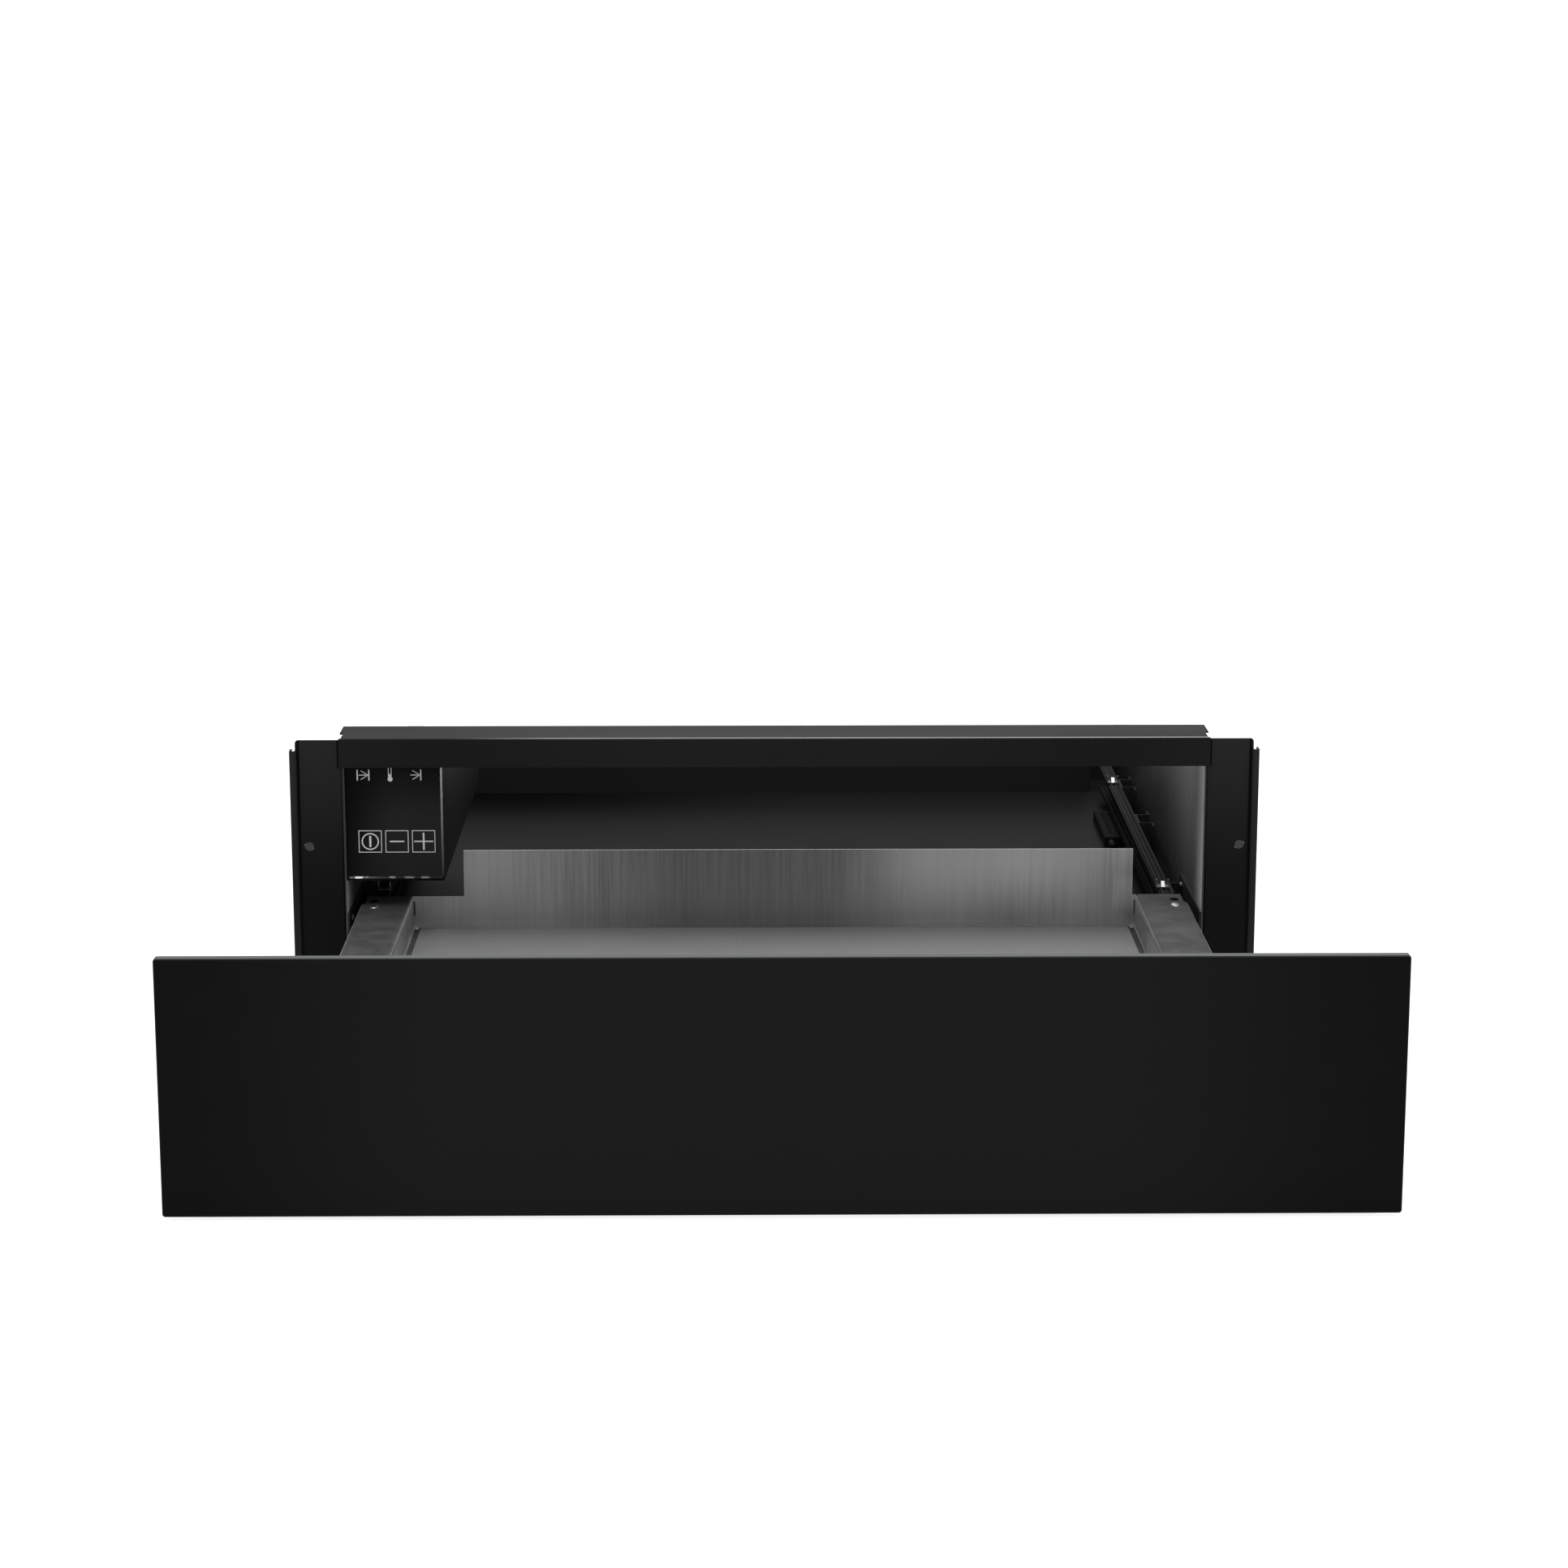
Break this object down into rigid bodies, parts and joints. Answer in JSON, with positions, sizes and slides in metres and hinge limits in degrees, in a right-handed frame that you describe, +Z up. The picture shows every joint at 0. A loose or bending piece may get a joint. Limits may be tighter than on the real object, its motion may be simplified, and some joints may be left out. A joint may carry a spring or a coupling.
{
  "type": "built-in warming drawer",
  "caption": "Built-in warming drawer, pulled out: glass front, folded steel tray with mat on ball slides, low steel body with touch controls, fan and heater.",
  "frame": {"origin": "on the underside, midway across and midway between the front face of the pulled-out drawer and the end of the mains gland", "axes": "+X to the right as the user faces the appliance, +Y back into the cabinet, +Z up"},
  "size_m": [0.595, 1.005, 0.14],
  "materials": {
    "black_glass": "polished",
    "carrier_steel": "satin",
    "tray_steel": "fine vertical grain",
    "mat_rubber": "fine diamond pattern",
    "soft_rubber": "matt",
    "black_paint": "satin",
    "body_steel": "zinc coated",
    "bracket_steel": "matt",
    "slide_steel": "zinc plated",
    "cage_steel": "bright",
    "bright_clip": "bright",
    "touch_gloss": "gloss",
    "bright_bezel": "bright",
    "housing_plastic": "matt",
    "circuit_board": "matt",
    "duct_steel": "zinc coated",
    "rotor_aluminium": "matt",
    "motor_metal": "matt",
    "bush_brass": "plain",
    "heater_sheath": "heat tinted",
    "pale_plastic": "matt",
    "dark_plastic": "matt"
  },
  "bodies": {
    "housing": {"top_bar": "black_paint", "top_plate": "black_paint", "front_flange_left": "black_paint", "front_flange_right": "black_paint", "base_pan": "body_steel", "rear_panel": "body_steel", "side_wall_left": "body_steel", "side_wall_right": "body_steel", "corner_bracket_left": "bracket_steel", "corner_bracket_right": "bracket_steel", "middle_bracket_left": "bracket_steel", "middle_bracket_right": "bracket_steel", "rear_bracket_left": "bracket_steel", "rear_bracket_right": "bracket_steel", "cabinet_rail_left": "slide_steel", "cabinet_rail_right": "slide_steel", "rail_clips_left": "bright_clip", "rail_clips_right": "bright_clip", "touch_panel": "touch_gloss", "panel_bezel": "bright_bezel", "control_housing": "housing_plastic", "touch_board": "circuit_board", "power_board": "circuit_board", "duct_front": "duct_steel", "duct_cover": "duct_steel", "air_guide": "duct_steel", "motor_saddle": "duct_steel", "bearing_post": "duct_steel", "heater_holders": "duct_steel", "fan_motor": "motor_metal", "bearing_bush": "bush_brass", "heating_element": "heater_sheath", "thermal_cutout": "pale_plastic", "terminal_block": "pale_plastic", "latch_body": "dark_plastic", "mains_gland": "dark_plastic", "temperature_sensor": "dark_plastic"},
    "drawer": {"front_glass": "black_glass", "front_carrier": "carrier_steel", "inner_panel": "carrier_steel", "front_bumpers": "soft_rubber", "front_screws": "bright_clip", "tray": "tray_steel", "tray_mat": "mat_rubber", "slide_carrier_left": "carrier_steel", "slide_carrier_right": "carrier_steel", "front_bracket_left": "carrier_steel", "front_bracket_right": "carrier_steel", "drawer_rail_left": "slide_steel", "drawer_rail_right": "slide_steel", "latch_striker": "carrier_steel"},
    "middle_left": {"middle_rail_left": "slide_steel"},
    "middle_right": {"middle_rail_right": "slide_steel"},
    "outer_cage_left": {"outer_cage_left": "cage_steel"},
    "outer_cage_right": {"outer_cage_right": "cage_steel"},
    "inner_cage_left": {"inner_cage_left": "cage_steel"},
    "inner_cage_right": {"inner_cage_right": "cage_steel"},
    "plunger": {"latch_plunger": "pale_plastic", "latch_spring": "bright_clip"},
    "fan": {"fan_rotor": "rotor_aluminium"}
  },
  "joints": [
    {"name": "drawer_slide", "type": "slide", "parent": "housing", "child": "drawer", "axis": [0, 1, 0], "range_m": [0, 0.45]},
    {"name": "middle_left_slide", "type": "slide", "parent": "housing", "child": "middle_left", "axis": [0, 1, 0], "range_m": [0, 0.225]},
    {"name": "outer_cage_left_slide", "type": "slide", "parent": "housing", "child": "outer_cage_left", "axis": [0, 1, 0], "range_m": [0, 0.1125]},
    {"name": "inner_cage_left_slide", "type": "slide", "parent": "housing", "child": "inner_cage_left", "axis": [0, 1, 0], "range_m": [0, 0.3375]},
    {"name": "middle_right_slide", "type": "slide", "parent": "housing", "child": "middle_right", "axis": [0, 1, 0], "range_m": [0, 0.225]},
    {"name": "outer_cage_right_slide", "type": "slide", "parent": "housing", "child": "outer_cage_right", "axis": [0, 1, 0], "range_m": [0, 0.1125]},
    {"name": "inner_cage_right_slide", "type": "slide", "parent": "housing", "child": "inner_cage_right", "axis": [0, 1, 0], "range_m": [0, 0.3375]},
    {"name": "plunger_slide", "type": "slide", "parent": "housing", "child": "plunger", "axis": [0, 1, 0], "range_m": [0, 0.008], "stiffness_N_per_m": 300},
    {"name": "fan_spin", "type": "hinge", "parent": "housing", "child": "fan", "pos_m": [0, 0.4735, 0.021], "axis": [1, 0, 0], "continuous": true}
  ],
  "couplings": [
    {"joint": "middle_left_slide", "follows": "drawer_slide", "ratio": 0.5},
    {"joint": "outer_cage_left_slide", "follows": "drawer_slide", "ratio": 0.25},
    {"joint": "inner_cage_left_slide", "follows": "drawer_slide", "ratio": 0.75},
    {"joint": "middle_right_slide", "follows": "drawer_slide", "ratio": 0.5},
    {"joint": "outer_cage_right_slide", "follows": "drawer_slide", "ratio": 0.25},
    {"joint": "inner_cage_right_slide", "follows": "drawer_slide", "ratio": 0.75}
  ]
}
